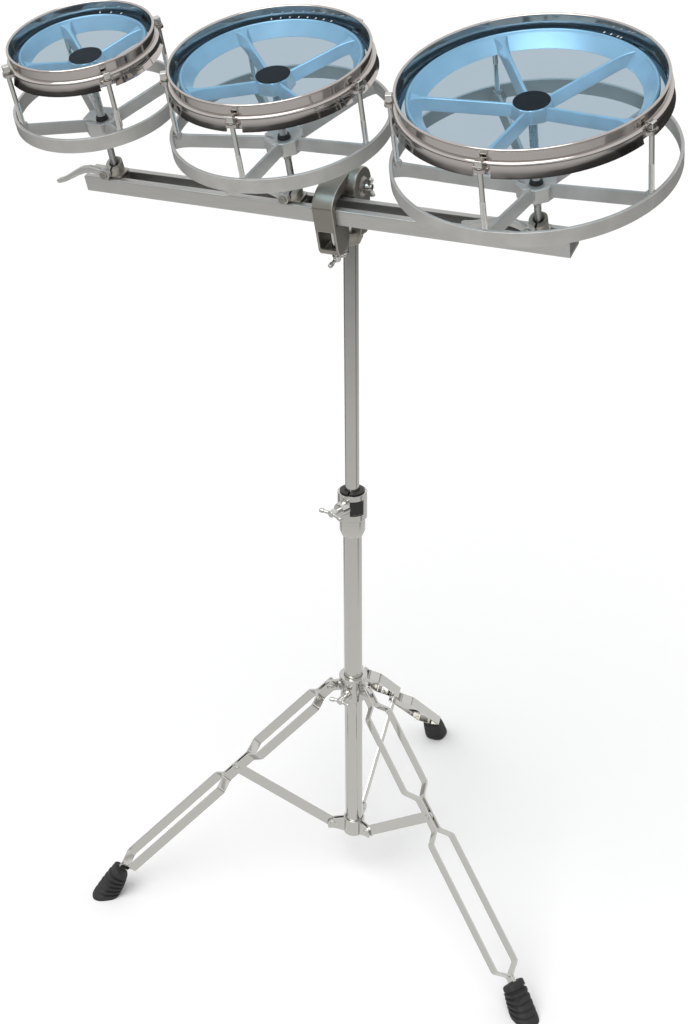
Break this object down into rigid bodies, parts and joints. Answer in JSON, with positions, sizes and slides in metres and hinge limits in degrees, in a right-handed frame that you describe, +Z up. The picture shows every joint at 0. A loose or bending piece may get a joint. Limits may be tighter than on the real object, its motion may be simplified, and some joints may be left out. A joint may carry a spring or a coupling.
{
  "type": "rototom drum set on a stand",
  "caption": "Three tunable shell-less drums on a slotted rail, with a tilting clamp and a folding tripod stand.",
  "frame": {"origin": "middle of the footprint's bounding box, on the floor under the stand", "axes": "+Z up, +X along the drum rail from the smallest to the largest drum, +Y away from the player"},
  "size_m": [0.7576, 0.5844, 1.1748],
  "materials": {
    "chrome": "polished chrome plate",
    "zinc_plate": "zinc plated thread",
    "cast_silver": "satin silver over a casting",
    "dark_casting": "dull tumbled casting",
    "satin_rail": "satin nickel plate",
    "clear_film": "clear polyester film",
    "head_ring": "plain formed hoop",
    "black_nylon": "moulded nylon",
    "black_rubber": "moulded rubber"
  },
  "bodies": {
    "stand_base": {"lower_tube": "chrome", "height_collar": "chrome", "spider": "chrome"},
    "height_screw": {"height_screw": "chrome"},
    "bush": {"collar_bush": "black_nylon"},
    "mast": {"upper_tube": "chrome", "tilter_neck": "dark_casting"},
    "tilter_bolt": {"tilter_bolt": "chrome"},
    "clamp_arm": {"rail_clamp": "dark_casting"},
    "rail_screw": {"rail_screw": "chrome"},
    "rail": {"rail": "satin_rail"},
    "leg_collar": {"leg_collar": "chrome"},
    "leg_screw": {"leg_screw": "chrome"},
    "small_mount": {"small_base": "dark_casting", "small_post": "zinc_plate"},
    "small_lever": {"small_lever": "cast_silver"},
    "small_head_frame": {"small_upper_frame": "cast_silver", "small_head": "clear_film"},
    "small_tuning_frame": {"small_lower_frame": "cast_silver", "small_hoop": "chrome", "small_flesh_hoop": "head_ring", "small_rod_1": "chrome", "small_rod_2": "chrome", "small_rod_3": "chrome", "small_rod_4": "chrome"},
    "middle_mount": {"middle_base": "dark_casting", "middle_post": "zinc_plate"},
    "middle_lever": {"middle_lever": "cast_silver"},
    "middle_head_frame": {"middle_upper_frame": "cast_silver", "middle_head": "clear_film"},
    "middle_tuning_frame": {"middle_lower_frame": "cast_silver", "middle_hoop": "chrome", "middle_flesh_hoop": "head_ring", "middle_rod_1": "chrome", "middle_rod_2": "chrome", "middle_rod_3": "chrome", "middle_rod_4": "chrome", "middle_rod_5": "chrome"},
    "large_mount": {"large_base": "dark_casting", "large_post": "zinc_plate"},
    "large_lever": {"large_lever": "cast_silver"},
    "large_head_frame": {"large_upper_frame": "cast_silver", "large_head": "clear_film"},
    "large_tuning_frame": {"large_lower_frame": "cast_silver", "large_hoop": "chrome", "large_flesh_hoop": "head_ring", "large_rod_1": "chrome", "large_rod_2": "chrome", "large_rod_3": "chrome", "large_rod_4": "chrome", "large_rod_5": "chrome"},
    "brace_1": {"brace_1": "chrome"},
    "leg_1": {"leg_1": "chrome", "foot_1": "black_rubber"},
    "brace_2": {"brace_2": "chrome"},
    "leg_2": {"leg_2": "chrome", "foot_2": "black_rubber"},
    "brace_3": {"brace_3": "chrome"},
    "leg_3": {"leg_3": "chrome", "foot_3": "black_rubber"}
  },
  "joints": [
    {"name": "mast_swivel", "type": "hinge", "parent": "stand_base", "child": "bush", "pos_m": [0.00017, -0.0724, 0], "axis": [0, 0, 1], "continuous": true},
    {"name": "mast_height", "type": "slide", "parent": "bush", "child": "mast", "axis": [0, 0, 1], "range_m": [-0.28, 0.09]},
    {"name": "height_screw_turn", "type": "hinge", "parent": "stand_base", "child": "height_screw", "pos_m": [0.00017, -0.0724, 0.584], "axis": [-0.2588, -0.9659, 0], "range_deg": [0, 360]},
    {"name": "tilt", "type": "hinge", "parent": "mast", "child": "clamp_arm", "pos_m": [0.00017, -0.0724, 0.9822], "axis": [1, 0, 0], "range_deg": [-45, 0]},
    {"name": "tilter_bolt_turn", "type": "hinge", "parent": "mast", "child": "tilter_bolt", "pos_m": [0.00017, -0.0724, 0.9822], "axis": [1, 0, 0], "range_deg": [0, 360]},
    {"name": "rail_screw_turn", "type": "hinge", "parent": "clamp_arm", "child": "rail_screw", "pos_m": [-0.00383, -0.11892, 0.96815], "axis": [0, 0.289, -0.9573], "range_deg": [0, 360]},
    {"name": "rail_shift", "type": "slide", "parent": "clamp_arm", "child": "rail", "axis": [1, 0, 0], "range_m": [-0.012, 0.012]},
    {"name": "small_mount_slide", "type": "slide", "parent": "rail", "child": "small_mount", "axis": [1, 0, 0], "range_m": [-0.02, 0.008]},
    {"name": "small_lever_turn", "type": "hinge", "parent": "small_mount", "child": "small_lever", "pos_m": [-0.28946, -0.12422, 0.97428], "axis": [0, 0.9573, 0.289], "range_deg": [0, 49]},
    {"name": "small_drum_spin", "type": "hinge", "parent": "small_mount", "child": "small_head_frame", "pos_m": [-0.28421, -0.15857, 1.13752], "axis": [0, -0.289, 0.9573], "range_deg": [-270, 270]},
    {"name": "small_tuning_travel", "type": "slide", "parent": "small_head_frame", "child": "small_tuning_frame", "axis": [0, -0.289, 0.9573], "range_m": [-0.00125, 0.00125]},
    {"name": "middle_mount_slide", "type": "slide", "parent": "rail", "child": "middle_mount", "axis": [1, 0, 0], "range_m": [-0.008, 0.005]},
    {"name": "middle_lever_turn", "type": "hinge", "parent": "middle_mount", "child": "middle_lever", "pos_m": [-0.05616, -0.12422, 0.97428], "axis": [0, 0.9573, 0.289], "range_deg": [0, 35]},
    {"name": "middle_drum_spin", "type": "hinge", "parent": "middle_mount", "child": "middle_head_frame", "pos_m": [-0.05092, -0.15857, 1.13752], "axis": [0, -0.289, 0.9573], "range_deg": [-270, 270]},
    {"name": "middle_tuning_travel", "type": "slide", "parent": "middle_head_frame", "child": "middle_tuning_frame", "axis": [0, -0.289, 0.9573], "range_m": [-0.00125, 0.00125]},
    {"name": "large_mount_slide", "type": "slide", "parent": "rail", "child": "large_mount", "axis": [1, 0, 0], "range_m": [-0.008, 0.02]},
    {"name": "large_lever_turn", "type": "hinge", "parent": "large_mount", "child": "large_lever", "pos_m": [0.22793, -0.12422, 0.97428], "axis": [0, 0.9573, 0.289], "range_deg": [0, 35]},
    {"name": "large_drum_spin", "type": "hinge", "parent": "large_mount", "child": "large_head_frame", "pos_m": [0.23319, -0.15857, 1.13752], "axis": [0, -0.289, 0.9573], "range_deg": [-270, 270]},
    {"name": "large_tuning_travel", "type": "slide", "parent": "large_head_frame", "child": "large_tuning_frame", "axis": [0, -0.289, 0.9573], "range_m": [-0.00125, 0.00125]},
    {"name": "brace_1_fold", "type": "hinge", "parent": "stand_base", "child": "brace_1", "pos_m": [-0.00156, -0.04245, 0.09], "axis": [0.9983, 0.0576, 0], "range_deg": [0, 46.9]},
    {"name": "leg_1_fold", "type": "hinge", "parent": "brace_1", "child": "leg_1", "pos_m": [-0.00887, 0.08434, 0.197], "axis": [-0.9983, -0.0576, 0], "range_deg": [0, 91.7]},
    {"name": "brace_2_fold", "type": "hinge", "parent": "stand_base", "child": "brace_2", "pos_m": [-0.02491, -0.08887, 0.09], "axis": [-0.549, 0.8358, 0], "range_deg": [0, 47.4]},
    {"name": "leg_2_fold", "type": "hinge", "parent": "brace_2", "child": "leg_2", "pos_m": [-0.13106, -0.1586, 0.197], "axis": [0.549, -0.8358, 0], "range_deg": [0, 91.7]},
    {"name": "brace_3_fold", "type": "hinge", "parent": "stand_base", "child": "brace_3", "pos_m": [0.02697, -0.08588, 0.09], "axis": [-0.4493, -0.8934, 0], "range_deg": [0, 47.4]},
    {"name": "leg_3_fold", "type": "hinge", "parent": "brace_3", "child": "leg_3", "pos_m": [0.14043, -0.14294, 0.197], "axis": [0.4493, 0.8934, 0], "range_deg": [0, 91.7]},
    {"name": "leg_collar_slide", "type": "slide", "parent": "stand_base", "child": "leg_collar", "axis": [0, 0, 1], "range_m": [0, 0.1153]},
    {"name": "leg_screw_turn", "type": "hinge", "parent": "leg_collar", "child": "leg_screw", "pos_m": [0.00017, -0.0724, 0.308], "axis": [-0.0872, -0.9962, 0], "range_deg": [0, 360]}
  ],
  "couplings": [
    {"joint": "small_tuning_travel", "follows": "small_drum_spin", "m_per_rad": 0.00025465},
    {"joint": "middle_tuning_travel", "follows": "middle_drum_spin", "m_per_rad": 0.00025465},
    {"joint": "large_tuning_travel", "follows": "large_drum_spin", "m_per_rad": 0.00025465},
    {"joint": "leg_1_fold", "follows": "brace_1_fold", "ratio": 1.9336},
    {"joint": "brace_2_fold", "follows": "brace_1_fold", "ratio": 1},
    {"joint": "leg_2_fold", "follows": "brace_1_fold", "ratio": 1.9336},
    {"joint": "brace_3_fold", "follows": "brace_1_fold", "ratio": 1},
    {"joint": "leg_3_fold", "follows": "brace_1_fold", "ratio": 1.9336},
    {"joint": "leg_collar_slide", "follows": "brace_1_fold", "m_per_rad": 0.13852}
  ]
}
